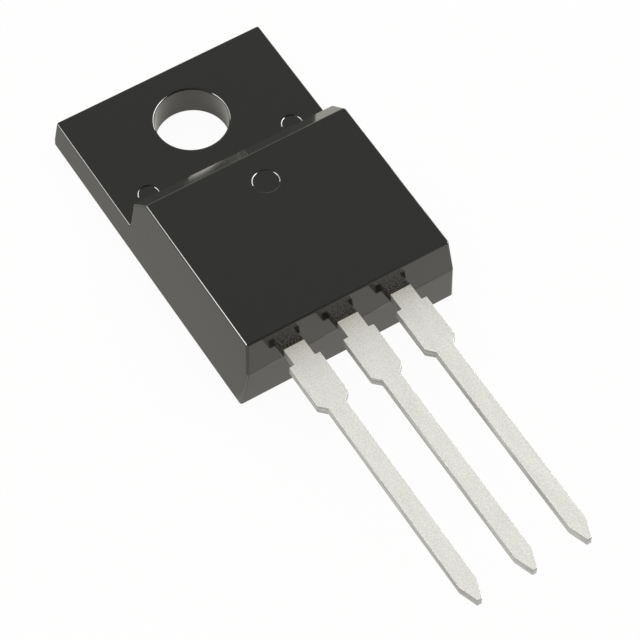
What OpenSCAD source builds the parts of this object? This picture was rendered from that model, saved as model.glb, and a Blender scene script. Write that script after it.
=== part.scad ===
// Three-lead power transistor, fully moulded and insulated, with one screw hole
// All sizes are in millimetres and all angles in degrees
// The axis of the screw hole is the Z axis and the flat back face lies at z = 0
// The front face looks along +Z and the leads run along -Y, first lead on the -X side

/* [Moulded body] */
// Width across the back face
body_w = 10.3; // [9.8:0.1:11]
// Height of the thick block, from the back face to the front face
body_h = 4.2; // [4:0.1:5]
// Hole axis to the widest line of the lead end
hole_to_lead_end = 12.84; // [12:0.02:14]
// Hole axis to the foot of the wall that rises from the tab
hole_to_wall = 3.45; // [3.2:0.01:4]
// Hole axis to the widest line of the tab's free end
hole_to_tab_end = 3; // [2.6:0.01:3.6]
// Thickness of the tab
tab_t = 1.55; // [1.3:0.05:2]
// Size of the 45 degree chamfer on the block's upper edge, above the tab
chamfer = 1; // [0.6:0.05:1.2]
// Angle at which the two long sides lean in, for release from the mould
side_angle = 5; // [2:0.5:6]
// Angle at which the lead end leans in above the parting line
end_top_angle = 7; // [3:0.5:8]
// Angle at which the lead end leans in below the parting line
end_under_angle = 6; // [3:0.5:8]
// Angle at which the wall between the tab and the chamfer leans
wall_angle = 5.5; // [3:0.5:8]
// Angle at which the tab's free end leans in above its widest line
tab_angle = 8; // [4:0.5:10]
// Height of the tab's widest line above the back face
tab_line = 0.36; // [0.2:0.02:0.5]
// Angle at which the tab's free end leans in below its widest line
tab_under_angle = 3; // [1:0.5:5]

/* [Screw hole] */
// Diameter of the screw hole
hole_d = 3.2; // [3:0.05:3.6]

/* [Mould pin marks] */
// Depth of the round marks that the mould's pins leave
mark_depth = 0.05; // [0.02:0.01:0.1]
// Diameter of the mark on the block's front face
block_mark_d = 1.1; // [0.9:0.05:1.6]
// Hole axis to the mark on the block's front face
hole_to_block_mark = 6.1; // [5.8:0.05:8]
// Sideways place of that mark from the hole axis
block_mark_shift = 0.05; // [-0.1:0.01:0.1]
// Diameter of the two marks on the tab
tab_mark_d = 0.85; // [0.7:0.05:1.1]
// Distance between the two marks on the tab
tab_mark_spacing = 7.04; // [6.4:0.04:7.4]
// Hole axis to the two marks on the tab, towards the block
hole_to_tab_marks = 2.44; // [2:0.02:2.6]

/* [Leads] */
// Spacing of the three leads
pitch = 2.54; // [2.4:0.02:2.7]
// Thickness of the lead frame's strip
lead_t = 0.45; // [0.35:0.05:0.6]
// Height of the leads' underside above the back face, where the mould halves meet
lead_floor = 2.4; // [2.2:0.05:2.7]
// Sideways place of the lead frame from the hole axis, as the real part was moulded
frame_shift = -0.18; // [-0.2:0.01:0.2]
// Width of a lead where it leaves the body
neck_w = 0.96; // [0.8:0.02:1.2]
// Length of that neck, from the body to the square shoulder
neck_len = 0.78; // [0.5:0.02:1.2]
// Width of the broad stretch that is left where the leads were tied together
broad_w = 1.45; // [1.3:0.05:1.7]
// Length of the broad stretch, without its chamfered corners
broad_len = 2.14; // [1.6:0.02:2.6]
// Width of the slender stretch
lead_w = 0.8; // [0.6:0.05:1]
// Distance from the body to the tip
lead_len = 13.57; // [12:0.01:15]
// Length of the tapered tip
tip_len = 0.83; // [0.5:0.01:1.2]
// Width of the blunt end of the tip
tip_w = 0.2; // [0.1:0.05:0.4]

/* [Die pad] */
// Thickness of the copper die pad
pad_t = 1.3; // [1:0.05:1.4]
// Moulding compound under the pad, which insulates it
pad_floor = 0.55; // [0.4:0.05:0.6]
// Moulding compound between the pad and each long side
pad_side_wall = 1; // [0.8:0.05:1.4]
// Moulding compound between the pad and the wall above the tab
pad_rear_wall = 0.8; // [0.6:0.05:1.2]
// Lead end of the body to the front edge of the pad
pad_setback = 2.6; // [2.4:0.05:3]
// Slope at which the middle lead runs down to the pad
downset = 45; // [35:1:55]

/* [Bond posts] */
// Width of the inner end of an outer lead
post_w = 2.1; // [1.6:0.05:2.2]
// Length of that inner end
post_len = 1.1; // [0.9:0.05:1.3]
// Lead end of the body to the post
post_setback = 0.73; // [0.5:0.01:0.9]
// Offset of the post outwards from its lead
post_shift = 0.3; // [0.2:0.05:0.4]

/* [Die] */
// Width of the silicon die, along the lead row
die_w = 3.4; // [2.6:0.1:4.4]
// Length of the die, along the leads
die_len = 4; // [3.2:0.1:4.6]
// Thickness of the die
die_t = 0.28; // [0.2:0.02:0.34]
// Thickness of the solder under the die
solder_t = 0.06; // [0.03:0.01:0.1]
// Rim of solder round the die
solder_rim = 0.15; // [0.05:0.05:0.3]

/* [Bond wires] */
// Diameter of the thin wire from the die's control pad to the first lead
control_d = 0.15; // [0.1:0.01:0.25]
// Diameter of the two thick wires from the die to the third lead
load_d = 0.38; // [0.25:0.01:0.45]
// Length of the flattened foot at each end of a wire
foot_len = 0.5; // [0.3:0.05:0.6]
// Width of a foot against the wire's diameter
foot_spread = 1.3; // [1.15:0.05:1.5]
// Slope at which a wire's arch leaves the line between its feet
wire_slope = 36; // [30:1:42]
// Die's front edge to the feet of the thick wires
load_foot_inset = 1.1; // [0.8:0.1:1.6]
// Die's front edge to the foot of the thin wire
control_foot_inset = 0.5; // [0.35:0.05:0.7]
// Die's side edge to the foot of the thin wire
control_foot_side = 0.5; // [0.3:0.05:0.7]
// Die's side edge to the foot of the outer thick wire
load_foot_side = 0.55; // [0.4:0.05:0.7]
// Spacing of the two thick wires at the die
load_foot_spacing = 0.8; // [0.65:0.05:0.9]
// Spacing of the two thick wires on their post
load_post_spacing = 1; // [0.9:0.05:1.1]

/* [Hidden] */

// Smoothness of round shapes and of the fine wires
$fn = 64;
wire_smooth = 24;

// How far a cutter runs past what it cuts
past = 1;

compound = [0.14, 0.14, 0.135];
tin = [0.80, 0.80, 0.77];
silicon = [0.36, 0.38, 0.42];
solder = [0.62, 0.62, 0.60];
aluminium = [0.86, 0.86, 0.86];

// Distances along -Y from the hole axis to the steps of the leads
shoulder = hole_to_lead_end + neck_len;
broad_end = shoulder + broad_len;
slender_start = broad_end + (broad_w - lead_w) / 2;
tip_end = hole_to_lead_end + lead_len;
taper_start = tip_end - tip_len;
post_front = hole_to_lead_end - post_setback;
post_rear = post_front - post_len;
pad_front = hole_to_lead_end - pad_setback;
pad_rear = hole_to_wall + pad_rear_wall;

// Heights inside the body
lead_top = lead_floor + lead_t;
pad_top = pad_floor + pad_t;
solder_top = pad_top + solder_t;
die_top = solder_top + die_t;

// The middle lead's bend: where its top and its underside leave the level
bend_top = pad_front + (lead_top - pad_top) / tan(downset);
bend_floor = bend_top + lead_t * tan(downset / 2);

die_mid = (pad_front + pad_rear) / 2;
die_front = die_mid + die_len / 2;
load_pair = (die_w - load_foot_spacing) / 2 - load_foot_side;
outer_post = pitch + post_shift;
post_mid = (post_front + post_rear) / 2;

function half_width(z) = body_w / 2 - z * tan(side_angle);

pad_w = 2 * (half_width(pad_top) - pad_side_wall);

// Lean of a face: how far it moves in over a rise
function lean(rise, angle) = rise * tan(angle);

// Extrudes an outline drawn in Y and Z along X, centred on x = 0
module along_x(length) {
    rotate([90, 0, 90])
        linear_extrude(height = length, center = true)
            children();
}

// Outline of the body seen from its side, as [y, z]
function side_outline() =
    let (
        wall_top = body_h - chamfer,
        wall_y = -hole_to_wall - lean(wall_top - tab_t, wall_angle)
    ) [
        [-hole_to_lead_end + lean(lead_floor, end_under_angle), 0],
        [-hole_to_lead_end, lead_floor],
        [-hole_to_lead_end + lean(body_h - lead_floor, end_top_angle), body_h],
        [wall_y - chamfer, body_h],
        [wall_y, wall_top],
        [-hole_to_wall, tab_t],
        [hole_to_tab_end - lean(tab_t - tab_line, tab_angle), tab_t],
        [hole_to_tab_end, tab_line],
        [hole_to_tab_end - lean(tab_line, tab_under_angle), 0],
    ];

// Section of the body seen from its lead end, run past the top and the bottom
function end_outline() = [
    [-half_width(-past), -past],
    [half_width(-past), -past],
    [half_width(body_h + past), body_h + past],
    [-half_width(body_h + past), body_h + past],
];

module outer_form() {
    intersection() {
        along_x(2 * body_w) polygon(side_outline());
        translate([0, hole_to_tab_end + past, 0])
            rotate([90, 0, 0])
                linear_extrude(height = hole_to_tab_end + hole_to_lead_end + 2 * past)
                    polygon(end_outline());
    }
}

module screw_hole() {
    translate([0, 0, -past])
        cylinder(d = hole_d, h = tab_t + 2 * past);
}

// A mould pin's mark, sunk into a face at the height given
module pin_mark(x, y, face, diameter) {
    translate([x, y, face - mark_depth])
        cylinder(d = diameter, h = mark_depth + past);
}

module pin_marks() {
    pin_mark(block_mark_shift, -hole_to_block_mark, body_h, block_mark_d);
    for (side = [-1, 1])
        pin_mark(side * tab_mark_spacing / 2, -hole_to_tab_marks, tab_t, tab_mark_d);
}

// Plan of a lead from the line where it starts inside the body to its tip.
// The right-hand edge is listed once as [half width, y] and mirrored
function lead_outline(start) =
    let (edge = [
        [neck_w / 2, -start],
        [neck_w / 2, -shoulder],
        [broad_w / 2, -shoulder],
        [broad_w / 2, -broad_end],
        [lead_w / 2, -slender_start],
        [lead_w / 2, -taper_start],
        [tip_w / 2, -tip_end],
    ])
    concat(edge, [for (i = [1:len(edge)]) let (p = edge[len(edge) - i]) [-p.x, p.y]]);

// Plan of an outer lead, centred on its own line, with its bond post set to +X
function outer_lead_outline() =
    let (
        inward = post_shift - post_w / 2,
        outward = post_shift + post_w / 2
    )
    concat(
        [[inward, -post_rear], [outward, -post_rear], [outward, -post_front]],
        lead_outline(post_front),
        [[inward, -post_front]]
    );

// Side 1 is the right-hand lead and side -1 the left-hand one
module outer_lead_form(side) {
    translate([0, 0, lead_floor])
        linear_extrude(height = lead_t)
            polygon([for (p = outer_lead_outline()) [side * (pitch + p.x), p.y]]);
}

module centre_lead_form() {
    translate([0, 0, lead_floor])
        linear_extrude(height = lead_t)
            polygon(lead_outline(bend_floor));
    along_x(neck_w)
        polygon([
            [-bend_floor, lead_floor],
            [-bend_floor, lead_top],
            [-bend_top, lead_top],
            [-pad_front, pad_top],
            [-pad_front, pad_top - lead_t / cos(downset)],
        ]);
    translate([-pad_w / 2, -pad_front, pad_floor])
        cube([pad_w, pad_front - pad_rear, pad_t]);
}

// A plate under the die's middle, larger than the die by a rim on every side
module die_plate(rim, floor, thickness) {
    translate([-die_w / 2 - rim, -die_mid - die_len / 2 - rim, floor])
        cube([die_w + 2 * rim, die_len + 2 * rim, thickness]);
}

module solder_form() {
    die_plate(solder_rim, pad_top, solder_t);
}

module die_form() {
    die_plate(0, solder_top, die_t);
}

// The arch of a wire in the X-Z plane, a circular arc from the origin to a point
// [level, rise] that leaves both ends at wire_slope to the line between them
module wire_arch(level, rise, diameter) {
    chord = norm([level, rise]);
    radius = chord / 2 / sin(wire_slope);
    rotate([0, -atan2(rise, level), 0])
        translate([chord / 2, 0, -radius * cos(wire_slope)])
            rotate([90, 0, 0])
                rotate([0, 0, 90 - wire_slope])
                    rotate_extrude(angle = 2 * wire_slope)
                        translate([radius, 0]) circle(d = diameter, $fn = wire_smooth);
}

// A foot of a wire, pressed to a half-round bar that is wider and lower than the wire
module wire_foot(diameter) {
    translate([-foot_len / 2, 0, 0])
        rotate([0, 90, 0])
            cylinder(d = foot_spread * diameter, h = foot_len, $fn = wire_smooth);
}

// A bond wire from a foot centred at a to a foot centred at b, each [x, y, z] on
// the face that the foot is pressed on
module wire_form(a, b, diameter) {
    across = [b.x - a.x, b.y - a.y];
    translate(a)
        rotate([0, 0, atan2(across.y, across.x)]) {
            wire_foot(diameter);
            wire_arch(norm(across), b.z - a.z, diameter);
            translate([norm(across), 0, b.z - a.z]) wire_foot(diameter);
        }
}

module control_wire_form() {
    wire_form(
        [-die_w / 2 + control_foot_side, -die_front + control_foot_inset, die_top],
        [-outer_post, -post_mid, lead_top],
        control_d
    );
}

// Side -1 is the thick wire nearer the middle and side 1 the outer one
module load_wire_form(side) {
    wire_form(
        [load_pair + side * load_foot_spacing / 2, -die_front + load_foot_inset, die_top],
        [outer_post + side * load_post_spacing / 2, -post_mid, lead_top],
        load_d
    );
}

// The lead frame lies a little to one side, and what it carries goes with it
module on_frame() {
    translate([frame_shift, 0, 0]) children();
}

// What the feet of a wire are pressed flat against
module bonded_faces() {
    die_form();
    for (side = [-1, 1]) outer_lead_form(side);
}

module moulded_body() {
    color(compound)
        difference() {
            outer_form();
            screw_hole();
            pin_marks();
            on_frame() {
                centre_lead_form();
                solder_form();
                bonded_faces();
                control_wire_form();
                for (side = [-1, 1]) load_wire_form(side);
            }
        }
}

module centre_lead_and_pad() {
    color(tin) on_frame() centre_lead_form();
}

module left_lead() {
    color(tin) on_frame() outer_lead_form(-1);
}

module right_lead() {
    color(tin) on_frame() outer_lead_form(1);
}

module die() {
    color(silicon) on_frame() die_form();
}

module die_solder() {
    color(solder) on_frame() solder_form();
}

module control_wire() {
    color(aluminium)
        on_frame()
            difference() {
                control_wire_form();
                bonded_faces();
            }
}

module load_wire(side) {
    color(aluminium)
        on_frame()
            difference() {
                load_wire_form(side);
                bonded_faces();
            }
}

moulded_body();
centre_lead_and_pad();
left_lead();
right_lead();
die();
die_solder();
control_wire();
load_wire(-1);  // load_wire_1
load_wire(1);  // load_wire_2
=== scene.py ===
import math

import bmesh
import bpy
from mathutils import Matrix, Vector


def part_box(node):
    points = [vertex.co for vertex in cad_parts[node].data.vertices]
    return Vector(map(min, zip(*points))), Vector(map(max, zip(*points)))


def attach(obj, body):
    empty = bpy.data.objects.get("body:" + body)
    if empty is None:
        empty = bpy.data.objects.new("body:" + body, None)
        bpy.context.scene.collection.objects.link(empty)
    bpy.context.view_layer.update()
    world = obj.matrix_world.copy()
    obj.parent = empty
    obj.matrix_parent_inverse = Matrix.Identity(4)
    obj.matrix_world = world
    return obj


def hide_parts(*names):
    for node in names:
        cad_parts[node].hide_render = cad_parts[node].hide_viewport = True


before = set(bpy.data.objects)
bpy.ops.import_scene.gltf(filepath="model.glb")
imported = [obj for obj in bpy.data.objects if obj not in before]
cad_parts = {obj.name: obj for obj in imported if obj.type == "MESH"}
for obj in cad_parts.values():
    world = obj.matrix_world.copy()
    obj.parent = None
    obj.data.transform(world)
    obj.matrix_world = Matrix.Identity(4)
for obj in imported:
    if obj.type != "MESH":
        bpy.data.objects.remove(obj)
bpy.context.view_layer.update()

# The looks of a three-lead power transistor, in metres, in the frame of the solids
MM = 0.001

# Camera, fitted to the photograph
CAMERA_AZIMUTH = -31.738
CAMERA_ELEVATION = 56.623
CAMERA_DISTANCE = 136.205 * MM
CAMERA_TARGET = Vector((-0.213, -10.733, 0.0)) * MM
CAMERA_LENS = 185.06
SENSOR_WIDTH = 36.0

# How far each rounding reaches from its edge, which is the radius at a right angle
BODY_EDGE = 0.115 * MM
TAB_EDGE = 0.075 * MM
CHAMFER_EDGE = 0.065 * MM
PARTING_EDGE = 0.035 * MM
RIGHT_EDGE = 0.04 * MM
BACK_EDGE = 0.06 * MM
HOLE_EDGE = 0.10 * MM
HOLE_BACK_EDGE = 0.03 * MM
LEAD_EDGE = 0.015 * MM

# Radius of the round that the wall of a mark is part of
MARK_EDGE = 0.10 * MM

# Band of wall between a rounding and the rest, which keeps the rest upright
SUPPORT = 0.02 * MM

# Edges that each edge of a round rim becomes, and steps down the wall of a mark
RIM_PARTS = 4
MARK_STEPS = 5

# Segments of a rounding
BODY_SEGMENTS = 5
LEAD_SEGMENTS = 2

# What counts as one height, as on a circle, and as near a slot
SAME_HEIGHT = 0.01 * MM
ON_CIRCLE = 0.002 * MM
NEAR_SLOT = 0.02 * MM

# Share of Z in the normal of an upright face, at most, and of Y in that of a lead end, at least
UPRIGHT = 0.01
ENDWISE = 0.9

# Largest turns of an edge, in degrees, by what it is
FLAT_TURN = 5
ROUND_TURN = 15
PARTING_TURN = 20
MARK_TURN = 30
CHAMFER_TURN = 60

# Fewest flats of a round wall, and the shortest of the long straight edges
ROUND_FLATS = 20
LONG_EDGE = 5 * MM

# The body's box and the heights of the leads' slots
BODY_LOW, BODY_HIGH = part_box("moulded_body")
SLOT_LOW, SLOT_HIGH = (corner.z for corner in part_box("left_lead"))

# The slots' mouths lie before the first plane, and the leads are rounded before the second
MOUTH_Y = BODY_LOW.y + 0.5 * MM
OUTSIDE_Y = BODY_LOW.y + 0.1 * MM

# Where the tin's painted light and shade change along the leads: towards the body, and at the necks
TIN_OPEN = BODY_LOW.y - 1.06 * MM
TIN_NEAR = BODY_LOW.y - 0.06 * MM
NECK_START = BODY_LOW.y - 0.91 * MM
NECK_FULL = BODY_LOW.y - 0.76 * MM

# Upward faces by the Z of their normal, and low angles by how far a face turns from the view
UPWARD_START = 0.95
UPWARD_FULL = 0.99
LOW_ANGLE_START = 0.43
LOW_ANGLE_FULL = 0.47

# Room: strength on all sides, towards the front and the back, and its factor for matt surfaces
ROOM = 0.73
ROOM_FRONT = 0.40
ROOM_BACK = 1.38
ROOM_FOR_MATT = 1.4

# Side lamps: strength at each end
RIGHT_LAMP_NEAR = 32.0
RIGHT_LAMP_FAR = 16.5
LEFT_LAMP_NEAR = 23.0
LEFT_LAMP_FAR = 11.0

# Floor: share of plain white in it for the camera, and the strength of its painted glow in reflections
# by place
FLOOR_WHITE = 0.95
FLOOR_BEFORE = 0.85
FLOOR_FURTHER = 1.3
FLOOR_BESIDE = 0.66
FLOOR_CORNER = 1.26
FLOOR_HALF = 400 * MM
FLOOR_DROP = 0.002 * MM

# Where the floor's painted glow steps: along Y before the body and beside it, and along X between them
FURTHER_END = BODY_LOW.y - 2.36 * MM
BEFORE_START = BODY_LOW.y - 1.76 * MM
CORNER_END = BODY_LOW.y - 0.06 * MM
BESIDE_START = BODY_LOW.y + 0.84 * MM
SIDE_END = BODY_LOW.x
MIDDLE_START = BODY_LOW.x + 0.2 * MM

# The screw hole, and the radii that hold just its wall, and just the floor in it
HOLE_RADIUS = 1.6 * MM
HOLE_WALL_REACH = HOLE_RADIUS + 0.05 * MM
HOLE_FLOOR_REACH = HOLE_RADIUS + 0.1 * MM

# Floor in the screw hole: strength of its painted glow up to the middle's radius and at the rim, and its
# share at the sides
HOLE_MIDDLE = 0.9 * MM
HOLE_FLOOR = 1.17
HOLE_FLOOR_RIM = 1.07
HOLE_FLOOR_RIGHT = 0.50
HOLE_FLOOR_LEFT = 0.72

# The camera's right on the floor, and where along it the sides' shares begin and end
RIGHTWARD = (0.85, -0.53, 0)
HOLE_RIGHT_START = 0.2 * MM
HOLE_RIGHT_END = 1.3 * MM
HOLE_LEFT_START = -0.4 * MM
HOLE_LEFT_END = -1.4 * MM

# What the lamps point at
LAMP_AIM = Vector((0, -8, 0)) * MM


def direction(azimuth, elevation):
    """Unit vector from the object towards a place round it, azimuth 0 being -Y."""
    a, e = math.radians(azimuth), math.radians(elevation)
    return Vector((math.sin(a) * math.cos(e), -math.cos(a) * math.cos(e), math.sin(e)))


# Shader nodes

def emptied(owner):
    """The node tree of a material, world or lamp, without the nodes it starts with."""
    owner.use_nodes = True
    owner.node_tree.nodes.clear()
    return owner.node_tree


def add(tree, kind, values=None, **settings):
    """Adds a shader node, sets its settings and gives its sockets their values."""
    made = tree.nodes.new(kind)
    for key, value in settings.items():
        setattr(made, key, value)
    for key, value in (values or {}).items():
        made.inputs[key].default_value = value
    return made


def join(tree, output, node, socket):
    """Links an output of one node to a socket of another."""
    tree.links.new(output, node.inputs[socket])


def close(tree, output, kind):
    """Ends a tree with its output node."""
    join(tree, output, add(tree, kind), "Surface")


def geometry(tree, name):
    """Position, Normal or another output of the geometry node."""
    return add(tree, "ShaderNodeNewGeometry").outputs[name]


def ray(tree, kind):
    """1 for rays of a kind, such as Glossy, and 0 for others."""
    return add(tree, "ShaderNodeLightPath").outputs[f"Is {kind} Ray"]


def along_axis(tree, vector, axis):
    """The X, Y or Z of a vector."""
    made = add(tree, "ShaderNodeSeparateXYZ")
    join(tree, vector, made, "Vector")
    return made.outputs[axis]


def scalar(tree, operation, values, *outputs):
    """The result of an operation on outputs, with set values in the other sockets."""
    made = add(tree, "ShaderNodeMath", values, operation=operation)
    for socket, output in enumerate(outputs):
        join(tree, output, made, socket)
    return made.outputs[0]


def product(tree, first, second):
    return scalar(tree, "MULTIPLY", {}, first, second)


def along(tree, vector, towards):
    """How far a vector reaches in a direction."""
    made = add(tree, "ShaderNodeVectorMath", {1: towards}, operation="DOT_PRODUCT")
    join(tree, vector, made, 0)
    return made.outputs["Value"]


def length(tree, vector):
    made = add(tree, "ShaderNodeVectorMath", operation="LENGTH")
    join(tree, vector, made, 0)
    return made.outputs["Value"]


def noise(tree, scale, detail=2.0, roughness=0.5, stretch=(1, 1, 1)):
    """Noise in the object's own space, with features of about 1 / scale metres."""
    place = add(tree, "ShaderNodeTexCoord")
    mapping = add(tree, "ShaderNodeMapping", {"Scale": stretch})
    texture = add(tree, "ShaderNodeTexNoise", {"Scale": scale, "Detail": detail, "Roughness": roughness})
    join(tree, place.outputs["Object"], mapping, "Vector")
    join(tree, mapping.outputs["Vector"], texture, "Vector")
    return texture.outputs["Fac"]


def spread(tree, output, low, high, to_low, to_high):
    """Maps a value from low..high to to_low..to_high."""
    made = add(tree, "ShaderNodeMapRange", {
        "From Min": low, "From Max": high, "To Min": to_low, "To Max": to_high,
    })
    join(tree, output, made, "Value")
    return made.outputs["Result"]


def ramp(tree, output, dark_place, dark, light_place, light):
    """Colours a value: dark up to one place, light from another on, and a blend between."""
    made = add(tree, "ShaderNodeValToRGB")
    stops = zip(made.color_ramp.elements, ((dark_place, dark), (light_place, light)))
    for stop, (place, colour) in stops:
        stop.position = place
        stop.color = (*colour, 1)
    join(tree, output, made, "Fac")
    return made.outputs["Color"]


def mixed(tree, amount, first, second):
    """Mixes two colours by a value: 0 gives the first, 1 the second."""
    made = add(tree, "ShaderNodeMixRGB")
    join(tree, amount, made, "Fac")
    join(tree, first, made, "Color1")
    join(tree, second, made, "Color2")
    return made.outputs["Color"]


def mixed_shaders(tree, amount, first, second):
    """Mixes two shaders by a share, which is a number or an output."""
    made = add(tree, "ShaderNodeMixShader")
    if isinstance(amount, float):
        made.inputs[0].default_value = amount
    else:
        join(tree, amount, made, 0)
    join(tree, first, made, 1)
    join(tree, second, made, 2)
    return made.outputs[0]


def bump(tree, shader, output, strength, distance):
    """Roughens a shader's surface by a value."""
    made = add(tree, "ShaderNodeBump", {"Strength": strength, "Distance": distance})
    join(tree, output, made, "Height")
    join(tree, made.outputs["Normal"], shader, "Normal")


def new_material(name):
    """A material with one shader in it, as (material, tree, shader)."""
    made = bpy.data.materials.new(name)
    tree = emptied(made)
    shader = add(tree, "ShaderNodeBsdfPrincipled")
    close(tree, shader.outputs["BSDF"], "ShaderNodeOutputMaterial")
    return made, tree, shader


# Materials of the pieces

def on_hole_wall(tree):
    """1 on the wall of the screw hole, 0 elsewhere."""
    plan = add(tree, "ShaderNodeVectorMath", {1: (1, 1, 0)}, operation="MULTIPLY")
    join(tree, geometry(tree, "Position"), plan, 0)
    reach = length(tree, plan.outputs["Vector"])
    return scalar(tree, "LESS_THAN", {1: HOLE_WALL_REACH}, reach)


def calm_tops(tree, shader):
    """Turns the gloss of the upward faces into a soft sheen where they are seen at a low angle."""
    up = along_axis(tree, geometry(tree, "Normal"), "Z")
    upward = spread(tree, up, UPWARD_START, UPWARD_FULL, 0.0, 1.0)
    facing = add(tree, "ShaderNodeLayerWeight", {"Blend": 0.5}).outputs["Facing"]
    low_angle = spread(tree, facing, LOW_ANGLE_START, LOW_ANGLE_FULL, 0.0, 1.0)
    direct = spread(tree, ray(tree, "Glossy"), 0.0, 1.0, 1.0, 0.0)
    amount = product(tree, product(tree, upward, low_angle), direct)
    join(tree, spread(tree, amount, 0.0, 1.0, 0.5, 0.0), shader, "Specular IOR Level")
    join(tree, spread(tree, amount, 0.0, 1.0, 0.0, 0.15), shader, "Sheen Weight")


def compound_material():
    """Black moulding compound with a fine grain, and a painted pale tone on the hole's wall where
    reflections show it.
    """
    made, tree, shader = new_material("moulding_compound")
    grain = noise(tree, 16000, detail=3)
    skin = ramp(tree, grain, 0.35, (0.0028, 0.0028, 0.0026), 0.7, (0.0048, 0.0048, 0.0044))
    # Painted reflection: the hole's wall gets a pale colour where glossy rays see it.
    painted_reflection_tone = ramp(tree, grain, 0.35, (0.30, 0.30, 0.28), 0.7, (0.38, 0.38, 0.36))
    mirrored = product(tree, on_hole_wall(tree), ray(tree, "Glossy"))
    join(tree, mixed(tree, mirrored, skin, painted_reflection_tone), shader, "Base Color")
    join(tree, spread(tree, noise(tree, 500), 0.3, 0.7, 0.07, 0.11), shader, "Roughness")
    bump(tree, shader, grain, 0.04, 0.002 * MM)
    shader.inputs["IOR"].default_value = 1.5
    calm_tops(tree, shader)
    return made


def rolled_faces(tree, grain, near_body):
    """Colour of the leads' broad faces, with painted light beside the body that makes them paler and
    warmer there.
    """
    open_face = ramp(tree, grain, 0.36, (0.58, 0.58, 0.57), 0.64, (0.745, 0.735, 0.725))
    # Painted light: paler and warmer beside the body, where the body shades the leads.
    painted_light_face = ramp(tree, grain, 0.36, (0.61, 0.59, 0.56), 0.64, (0.81, 0.79, 0.74))
    return mixed(tree, near_body, open_face, painted_light_face)


def cut_faces(tree, place):
    """Colour of the leads' sheared sides: darker than the broad faces, partly a duller cut and partly
    painted shade, with more painted shade at the necks.
    """
    sheared = noise(tree, 9000, detail=1, stretch=(0.05, 0.05, 1))
    open_cut = ramp(tree, sheared, 0.3, (0.25, 0.25, 0.25), 0.7, (0.46, 0.46, 0.45))
    # Painted shade: the sheared sides darker still at the necks, beside the body.
    painted_shade_cut = ramp(tree, sheared, 0.3, (0.21, 0.21, 0.21), 0.7, (0.37, 0.37, 0.36))
    at_neck = spread(tree, place, NECK_START, NECK_FULL, 0.0, 1.0)
    return mixed(tree, at_neck, open_cut, painted_shade_cut)


def painted_glints(tree, near_body):
    """Colour of the leads in their mirror images: painted glints on the grain, and painted shade beside
    the body.
    """
    coarse = noise(tree, 13000, detail=2, roughness=0.6)
    open_glint = ramp(tree, coarse, 0.42, (0.42, 0.40, 0.38), 0.58, (1.0, 0.98, 0.94))
    near_glint = ramp(tree, coarse, 0.45, (0.10, 0.085, 0.07), 0.55, (0.98, 0.88, 0.79))
    return mixed(tree, near_body, open_glint, near_glint)


def tin_material():
    """Dull tin plating over stamped copper, brighter on the rolled faces than on the cut ones, partly
    from painted shade, with painted light beside the body and painted glints in reflections.
    """
    made, tree, shader = new_material("tin_plating")
    grain = noise(tree, 14000, detail=3, roughness=0.65)
    place = along_axis(tree, geometry(tree, "Position"), "Y")
    near_body = spread(tree, place, TIN_OPEN, TIN_NEAR, 0.0, 1.0)
    # Faces picked by their normals: the sides get the darker cut colour, partly painted shade.
    up_or_down = scalar(tree, "ABSOLUTE", {}, along_axis(tree, geometry(tree, "Normal"), "Z"))
    broad = spread(tree, up_or_down, 0.5, 0.95, 0.0, 1.0)
    direct = mixed(tree, broad, cut_faces(tree, place), rolled_faces(tree, grain, near_body))
    # Painted reflection: reflections show the leads in the colour of the painted glints.
    colour = mixed(tree, ray(tree, "Glossy"), direct, painted_glints(tree, near_body))
    join(tree, colour, shader, "Base Color")
    rolled = noise(tree, 5000, detail=2, stretch=(1, 0.12, 1))
    join(tree, spread(tree, rolled, 0.3, 0.7, 0.50, 0.60), shader, "Roughness")
    bump(tree, shader, grain, 0.5, 0.005 * MM)
    shader.inputs["Metallic"].default_value = 0.15
    return made


def silicon_material():
    """Silicon, with the faint field of its metal-coated cells."""
    made, tree, shader = new_material("silicon")
    cells = add(tree, "ShaderNodeTexVoronoi", {"Scale": 9000.0})
    place = add(tree, "ShaderNodeTexCoord")
    join(tree, place.outputs["Object"], cells, "Vector")
    distance = cells.outputs["Distance"]
    shade = ramp(tree, distance, 0.1, (0.20, 0.22, 0.27), 0.6, (0.30, 0.31, 0.34))
    join(tree, shade, shader, "Base Color")
    bump(tree, shader, distance, 0.1, 0.002 * MM)
    shader.inputs["Metallic"].default_value = 0.7
    shader.inputs["Roughness"].default_value = 0.22
    return made


def metal_material(name, dark, light, roughness, scale):
    """A plain dull metal with grain: solder or bond wire."""
    made, tree, shader = new_material(name)
    grain = noise(tree, scale, detail=3)
    join(tree, ramp(tree, grain, 0.3, dark, 0.7, light), shader, "Base Color")
    join(tree, spread(tree, grain, 0.3, 0.7, roughness, roughness + 0.1), shader, "Roughness")
    bump(tree, shader, grain, 0.2, 0.003 * MM)
    shader.inputs["Metallic"].default_value = 1.0
    return made


# Meshes of the rounded copies

def welded(node):
    """A bmesh copy of a solid, with its corners joined and its flat faces whole."""
    made = bmesh.new()
    made.from_mesh(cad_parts[node].data)
    bmesh.ops.remove_doubles(made, verts=made.verts, dist=0.0001 * MM)
    bmesh.ops.dissolve_limit(
        made, angle_limit=math.radians(0.5), verts=made.verts, edges=made.edges
    )
    made.edges.layers.float.new("bevel_weight_edge")
    return made


def turn(edge):
    """Angle between the faces of an edge, positive where it is convex, in degrees."""
    return math.degrees(edge.calc_face_angle_signed(0.0))


def at_height(edge, height):
    """Whether both ends of an edge are at a height."""
    return all(abs(v.co.z - height) < SAME_HEIGHT for v in edge.verts)


def keep_sharp(mesh):
    """Marks every corner edge sharp, so that only the rounded ones are shaded smooth."""
    for edge in mesh.edges:
        edge.smooth = len(edge.link_faces) == 2 and abs(turn(edge)) < FLAT_TURN


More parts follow.
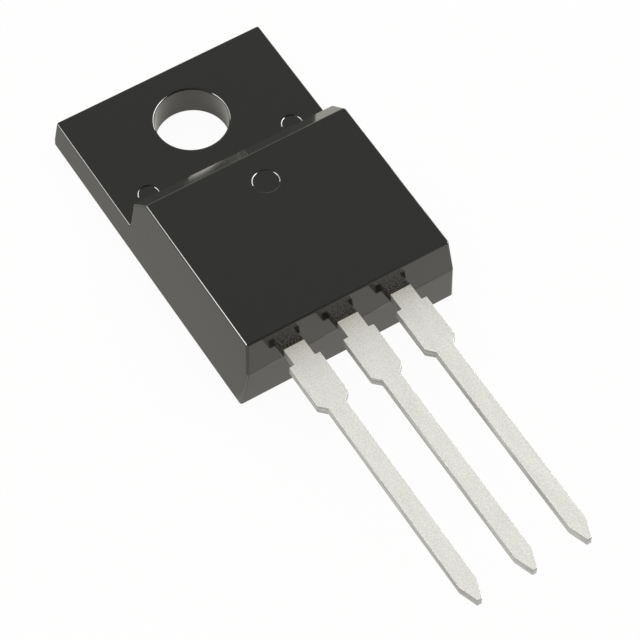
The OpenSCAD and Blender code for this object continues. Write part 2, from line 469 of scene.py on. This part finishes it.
def weigh(mesh, edges, reach):
    """Marks edges to be rounded, as far as the reach."""
    layer = mesh.edges.layers.float["bevel_weight_edge"]
    for edge in edges:
        edge[layer] = reach / BODY_EDGE
        edge.smooth = True


def on_circle(vertex, centre, radius, height=None):
    """Whether a corner lies on the cylinder, and at the height if one is given."""
    level = height is None or abs(vertex.co.z - height) < ON_CIRCLE
    return level and abs((vertex.co.xy - centre).length - radius) < ON_CIRCLE


def round_walls(mesh):
    """Finds each straight round wall, as its (centre, radius, low, high)."""
    left = {f for f in mesh.faces if abs(f.normal.z) < UPRIGHT and len(f.verts) == 4}
    found = []
    while left:
        wall, waiting = [], [left.pop()]
        while waiting:
            face = waiting.pop()
            wall.append(face)
            smooth = [e for e in face.edges if abs(turn(e)) < ROUND_TURN]
            near = [f for e in smooth for f in e.link_faces if f in left]
            left.difference_update(near)
            waiting.extend(near)
        if len(wall) < ROUND_FLATS:
            continue
        corners = list({v for f in wall for v in f.verts})
        centre = sum((v.co.xy for v in corners), Vector((0, 0))) / len(corners)
        levels = [v.co.z for v in corners]
        found.append((centre, (corners[0].co.xy - centre).length, min(levels), max(levels)))
    return found


def even_ring(mesh, centre, radius, height):
    """Parts each edge of a circle, makes all equally long, and returns the circle's corners."""
    for edge in [e for e in mesh.edges if all(on_circle(v, centre, radius, height) for v in e.verts)]:
        corner = edge.verts[0]
        for i in range(RIM_PARTS - 1):
            following = bmesh.utils.edge_split(edge, corner, 1 / (RIM_PARTS - i))[1]
            edge = next(e for e in following.link_edges if corner not in e.verts)
            corner = following
            corner.co.xy = centre + (corner.co.xy - centre).normalized() * radius
    ring = [v for v in mesh.verts if on_circle(v, centre, radius, height)]
    ring.sort(key=lambda v: (math.atan2(v.co.y - centre.y, v.co.x - centre.x) + 0.01) % math.tau)
    for i, corner in enumerate(ring):
        angle = math.tau * i / len(ring)
        corner.co.xy = centre + radius * Vector((math.cos(angle), math.sin(angle)))
    return ring


def open_wall(mesh, centre, radius, low, high):
    """Takes the wall of a round hole away and returns its two even rims."""
    wall = [
        f for f in mesh.faces
        if abs(f.normal.z) < UPRIGHT and all(on_circle(v, centre, radius) for v in f.verts)
    ]
    bmesh.ops.delete(mesh, geom=wall, context="FACES_ONLY")
    return [even_ring(mesh, centre, radius, z) for z in (low, high)]


def new_ring(mesh, like, centre, radius, height):
    """Corners round a centre, each beside one of the ring that it is like."""
    made = []
    for corner in like:
        place = centre + (corner.co.xy - centre).normalized() * radius
        made.append(mesh.verts.new((place.x, place.y, height)))
    return made


def join_rings(mesh, rings):
    """Faces between each ring and the one above it."""
    made = []
    for under, over in zip(rings, rings[1:]):
        for i in range(len(under)):
            j = (i + 1) % len(under)
            made.append(mesh.faces.new((under[i], over[i], over[j], under[j])))
    return made


def straight_wall(mesh, centre, radius, low, high):
    """The wall of the through hole, with a narrow band at each end that keeps the rest upright."""
    lower, upper = open_wall(mesh, centre, radius, low, high)
    levels = [low + HOLE_EDGE + SUPPORT, high - HOLE_EDGE - SUPPORT]
    inner = [new_ring(mesh, lower, centre, radius, level) for level in levels]
    join_rings(mesh, [lower, *inner, upper])


def rounded_wall(mesh, centre, radius, low, high):
    """The wall of a shallow mark: part of a round that leaves the face and meets the mark's floor."""
    lower, upper = open_wall(mesh, centre, radius, low, high)
    sweep = math.acos(1 - (high - low) / MARK_EDGE)
    start = radius + MARK_EDGE * math.sin(sweep)
    rings = []
    for i in range(1, MARK_STEPS):
        angle = sweep * (1 - i / MARK_STEPS)
        level = high - MARK_EDGE * (1 - math.cos(angle))
        rings.append(new_ring(mesh, lower, centre, start - MARK_EDGE * math.sin(angle), level))
    for corner in upper:
        corner.co.xy = centre + (corner.co.xy - centre).normalized() * start
    return join_rings(mesh, [lower, *rings, upper])


def slot_edge(edge):
    """Whether an edge is the mouth of a lead's slot in the lead end."""
    middle = (edge.verts[0].co + edge.verts[1].co) / 2
    in_row = SLOT_LOW - NEAR_SLOT < middle.z < SLOT_HIGH + NEAR_SLOT
    ends = [abs(f.normal.y) > ENDWISE for f in edge.link_faces]
    return in_row and len(ends) == 2 and ends[0] != ends[1] and middle.y < MOUTH_Y


def outer_faces(mesh):
    """Faces of the outside, found from the back face without passing into the leads' slots."""
    first = min(mesh.faces, key=lambda f: f.calc_center_median().z)
    found, waiting = {first}, [first]
    while waiting:
        for edge in waiting.pop().edges:
            if slot_edge(edge):
                continue
            for other in edge.link_faces:
                if other not in found:
                    found.add(other)
                    waiting.append(other)
    return found


def outer_edges(mesh):
    """Edges of the outside at which its faces turn."""
    outside = outer_faces(mesh)
    whole = [e for e in mesh.edges if len(e.link_faces) == 2 and all(f in outside for f in e.link_faces)]
    return [e for e in whole if abs(turn(e)) > FLAT_TURN]


def finish_piece(mesh, name, node, material, segments):
    """Makes the object: rounds its weighted edges, smooths it and puts it in place of its solid."""
    data = bpy.data.meshes.new(name)
    mesh.to_mesh(data)
    mesh.free()
    made = bpy.data.objects.new(name, data)
    bpy.context.scene.collection.objects.link(made)
    data.materials.append(material)
    for face in data.polygons:
        face.use_smooth = True
    rounded = made.modifiers.new("rounded_edges", "BEVEL")
    rounded.limit_method = "WEIGHT"
    rounded.width = BODY_EDGE
    rounded.segments = segments
    rounded.miter_outer = "MITER_ARC"
    rounded.use_clamp_overlap = False
    even = made.modifiers.new("even_normals", "WEIGHTED_NORMAL")
    even.weight = 100
    even.keep_sharp = True
    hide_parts(node)
    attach(made, "root")


# Pieces

def rebuild_walls(mesh):
    """Rebuilds the walls of the hole and the marks, and returns the hole and the marks' edges."""
    marks = []
    for centre, radius, low, high in round_walls(mesh):
        if low > BODY_LOW.z + SAME_HEIGHT:
            marks.extend(rounded_wall(mesh, centre, radius, low, high))
        else:
            straight_wall(mesh, centre, radius, low, high)
            hole = centre, radius, low, high
    return hole, {e for f in marks for e in f.edges}


def weigh_long_edges(mesh, edges):
    """Crisper roundings for the long edges of the back face and for the block's right one."""
    straight = [
        e for e in edges
        if e.calc_length() > LONG_EDGE and abs(e.verts[0].co.x - e.verts[1].co.x) < MM
    ]
    right_top = [
        e for e in straight
        if at_height(e, BODY_HIGH.z) and all(v.co.x > 0 for v in e.verts)
    ]
    weigh(mesh, [e for e in straight if at_height(e, BODY_LOW.z)], BACK_EDGE)
    weigh(mesh, right_top, RIGHT_EDGE)


def weigh_body(mesh, edges, hole):
    """Gives each kind of the body's outer edges its rounding."""
    centre, radius, low, high = hole
    rims = [
        e for e in edges
        if any(all(on_circle(v, centre, radius, level) for v in e.verts) for level in (low, high))
    ]
    weigh(mesh, edges, BODY_EDGE)
    weigh(mesh, [e for e in edges if PARTING_TURN < turn(e) < CHAMFER_TURN], CHAMFER_EDGE)
    weigh(mesh, [e for e in edges if abs(turn(e)) < PARTING_TURN], PARTING_EDGE)
    weigh(mesh, [e for e in edges if at_height(e, high) and turn(e) > PARTING_TURN], TAB_EDGE)
    weigh_long_edges(mesh, edges)
    weigh(mesh, rims, HOLE_EDGE)
    weigh(mesh, [e for e in rims if at_height(e, low)], HOLE_BACK_EDGE)


def make_body(material):
    mesh = welded("moulded_body")
    hole, marks = rebuild_walls(mesh)
    mesh.normal_update()
    keep_sharp(mesh)
    for edge in marks:
        edge.smooth = abs(turn(edge)) < MARK_TURN
    weigh_body(mesh, [e for e in outer_edges(mesh) if e not in marks], hole)
    finish_piece(mesh, "body_moulding", "moulded_body", material, BODY_SEGMENTS)


def make_lead(node, name, material):
    """A lead with its stamped corners rounded where it is outside the body."""
    mesh = welded(node)
    keep_sharp(mesh)
    corners = [e for e in mesh.edges if len(e.link_faces) == 2 and turn(e) > PARTING_TURN]
    weigh(mesh, [e for e in corners if all(v.co.y < OUTSIDE_Y for v in e.verts)], LEAD_EDGE)
    finish_piece(mesh, name, node, material, LEAD_SEGMENTS)


def dress_inner_pieces():
    """Gives the sealed inner pieces their materials."""
    silicon = silicon_material()
    solder = metal_material("solder", (0.40, 0.40, 0.39), (0.56, 0.56, 0.55), 0.35, 6000)
    wire = metal_material("bond_wire", (0.74, 0.74, 0.74), (0.88, 0.88, 0.88), 0.28, 20000)
    dresses = {
        "die": silicon,
        "die_solder": solder,
        "control_wire": wire,
        "load_wire_1": wire,
        "load_wire_2": wire,
    }
    for node, material in dresses.items():
        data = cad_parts[node].data
        data.materials.clear()
        data.materials.append(material)


# Floor

def open_floor(tree, position):
    """Painted glow of the floor round the object, seen in reflections: dimmer close before it and beside
    its left side.
    """
    place = along_axis(tree, position, "Y")
    before = spread(tree, place, FURTHER_END, BEFORE_START, FLOOR_FURTHER, FLOOR_BEFORE)
    beside = spread(tree, place, CORNER_END, BESIDE_START, FLOOR_CORNER, FLOOR_BESIDE)
    made = add(tree, "ShaderNodeMapRange", {"From Min": SIDE_END, "From Max": MIDDLE_START})
    join(tree, along_axis(tree, position, "X"), made, "Value")
    join(tree, beside, made, "To Min")
    join(tree, before, made, "To Max")
    return made.outputs["Result"]


def hole_floor(tree, position, reach):
    """Painted glow of the floor in the screw hole: by its distance from the middle and to the sides,
    with painted shade towards the rim and the sides.
    """
    by_reach = spread(tree, reach, HOLE_MIDDLE, HOLE_RADIUS, HOLE_FLOOR, HOLE_FLOOR_RIM)
    rightward = along(tree, position, RIGHTWARD)
    right = spread(tree, rightward, HOLE_RIGHT_START, HOLE_RIGHT_END, 1.0, HOLE_FLOOR_RIGHT)
    left = spread(tree, rightward, HOLE_LEFT_END, HOLE_LEFT_START, HOLE_FLOOR_LEFT, 1.0)
    return product(tree, by_reach, product(tree, right, left))


def mirrored_floor(tree):
    """The floor as reflections show it: a painted glow, by place."""
    position = geometry(tree, "Position")
    reach = length(tree, position)
    outside = scalar(tree, "GREATER_THAN", {1: HOLE_FLOOR_REACH}, reach)
    level = add(tree, "ShaderNodeMix", data_type="FLOAT")
    join(tree, outside, level, "Factor")
    join(tree, hole_floor(tree, position, reach), level, "A")
    join(tree, open_floor(tree, position), level, "B")
    glow = add(tree, "ShaderNodeEmission", {"Color": (1, 0.975, 0.90, 1)})
    join(tree, level.outputs["Result"], glow, "Strength")
    return glow.outputs[0]


def floor_material():
    """White to the camera but for the shadow, glowing by place in reflections, and pale for light."""
    made = bpy.data.materials.new("pale_floor")
    tree = emptied(made)
    white = add(tree, "ShaderNodeEmission", {"Color": (1, 1, 1, 1), "Strength": 1.0}).outputs[0]
    pale = add(tree, "ShaderNodeBsdfDiffuse", {"Color": (0.92, 0.92, 0.92, 1)}).outputs[0]
    shadowed = mixed_shaders(tree, FLOOR_WHITE, pale, white)
    seen = mixed_shaders(tree, ray(tree, "Camera"), pale, shadowed)
    whole = mixed_shaders(tree, ray(tree, "Glossy"), seen, mirrored_floor(tree))
    close(tree, whole, "ShaderNodeOutputMaterial")
    return made


def make_floor():
    data = bpy.data.meshes.new("floor")
    corners = [(x * FLOOR_HALF, y * FLOOR_HALF, 0) for x, y in ((-1, -1), (1, -1), (1, 1), (-1, 1))]
    data.from_pydata(corners, [], [(0, 1, 2, 3)])
    data.materials.append(floor_material())
    floor = bpy.data.objects.new("floor", data)
    floor.location.z = -FLOOR_DROP
    bpy.context.scene.collection.objects.link(floor)


# Room, lamps and camera

def by_direction(tree, place, middle, inner, outer, level, towards):
    """Strength that goes from a level to another one towards a direction."""
    made = add(tree, "ShaderNodeMapRange", {
        "From Min": outer, "From Max": inner, "To Min": level, "To Max": towards,
    }, interpolation_type="SMOOTHSTEP")
    join(tree, along(tree, place, middle), made, "Value")
    return made.outputs["Result"]


def make_world():
    """A pale room, white to the camera, dim behind the camera and bright low at the back."""
    world = bpy.data.worlds.new("room")
    bpy.context.scene.world = world
    tree = emptied(world)
    place = add(tree, "ShaderNodeTexCoord").outputs["Generated"]
    front = by_direction(
        tree, place, direction(-15, 40), inner=0.88, outer=0.78, level=ROOM, towards=ROOM_FRONT
    )
    back = by_direction(
        tree, place, direction(161, 28), inner=0.99, outer=0.93, level=1.0, towards=ROOM_BACK / ROOM
    )
    matt = spread(tree, ray(tree, "Diffuse"), 0.0, 1.0, 1.0, ROOM_FOR_MATT)
    lit = add(tree, "ShaderNodeBackground", {"Color": (1, 0.995, 0.93, 1)})
    join(tree, product(tree, product(tree, front, back), matt), lit, "Strength")
    white = add(tree, "ShaderNodeBackground", {"Color": (1, 1, 1, 1), "Strength": 1.0})
    whole = mixed_shaders(tree, ray(tree, "Camera"), lit.outputs[0], white.outputs[0])
    close(tree, whole, "ShaderNodeOutputWorld")


def make_lamp(name, azimuth, elevation, distance, width, height, left, right, turn_start, turn_end):
    """A side lamp that only reflections show, its glow going from the left level to the right one."""
    data = bpy.data.lights.new(name, "AREA")
    data.shape = "RECTANGLE"
    data.size, data.size_y = width, height
    # With this energy, the lamp is as bright as the strength says
    data.energy = math.pi * width * height
    tree = emptied(data)
    across = along_axis(tree, geometry(tree, "Parametric"), "X")
    glow = add(tree, "ShaderNodeEmission")
    join(tree, spread(tree, across, turn_start, turn_end, left, right), glow, "Strength")
    close(tree, glow.outputs[0], "ShaderNodeOutputLight")
    lamp = bpy.data.objects.new(name, data)
    towards = direction(azimuth, elevation)
    lamp.location = LAMP_AIM + towards * distance
    lamp.rotation_euler = towards.to_track_quat("Z", "Y").to_euler()
    lamp.visible_camera = False
    lamp.visible_diffuse = False
    bpy.context.scene.collection.objects.link(lamp)


def make_camera():
    data = bpy.data.cameras.new("camera")
    data.lens = CAMERA_LENS
    data.sensor_width = SENSOR_WIDTH
    data.clip_start, data.clip_end = 5 * MM, 5.0
    camera = bpy.data.objects.new("camera", data)
    back = direction(CAMERA_AZIMUTH, CAMERA_ELEVATION)
    camera.location = CAMERA_TARGET + back * CAMERA_DISTANCE
    camera.rotation_euler = (-back).to_track_quat("-Z", "Y").to_euler()
    bpy.context.scene.collection.objects.link(camera)
    bpy.context.scene.camera = camera


compound = compound_material()
tin = tin_material()
make_body(compound)
make_lead("left_lead", "left_lead_finish", tin)
make_lead("centre_lead_and_pad", "centre_lead_finish", tin)
make_lead("right_lead", "right_lead_finish", tin)
dress_inner_pieces()

make_floor()
make_world()
make_lamp(
    "right_lamp", azimuth=76, elevation=16, distance=0.30, width=0.50, height=0.16,
    left=RIGHT_LAMP_NEAR, right=RIGHT_LAMP_FAR, turn_start=0.30, turn_end=0.80,
)
make_lamp(
    "left_lamp", azimuth=-124, elevation=16, distance=0.30, width=0.44, height=0.16,
    left=LEFT_LAMP_FAR, right=LEFT_LAMP_NEAR, turn_start=0.47, turn_end=0.66,
)
make_camera()
bpy.context.scene.view_settings.view_transform = "Standard"
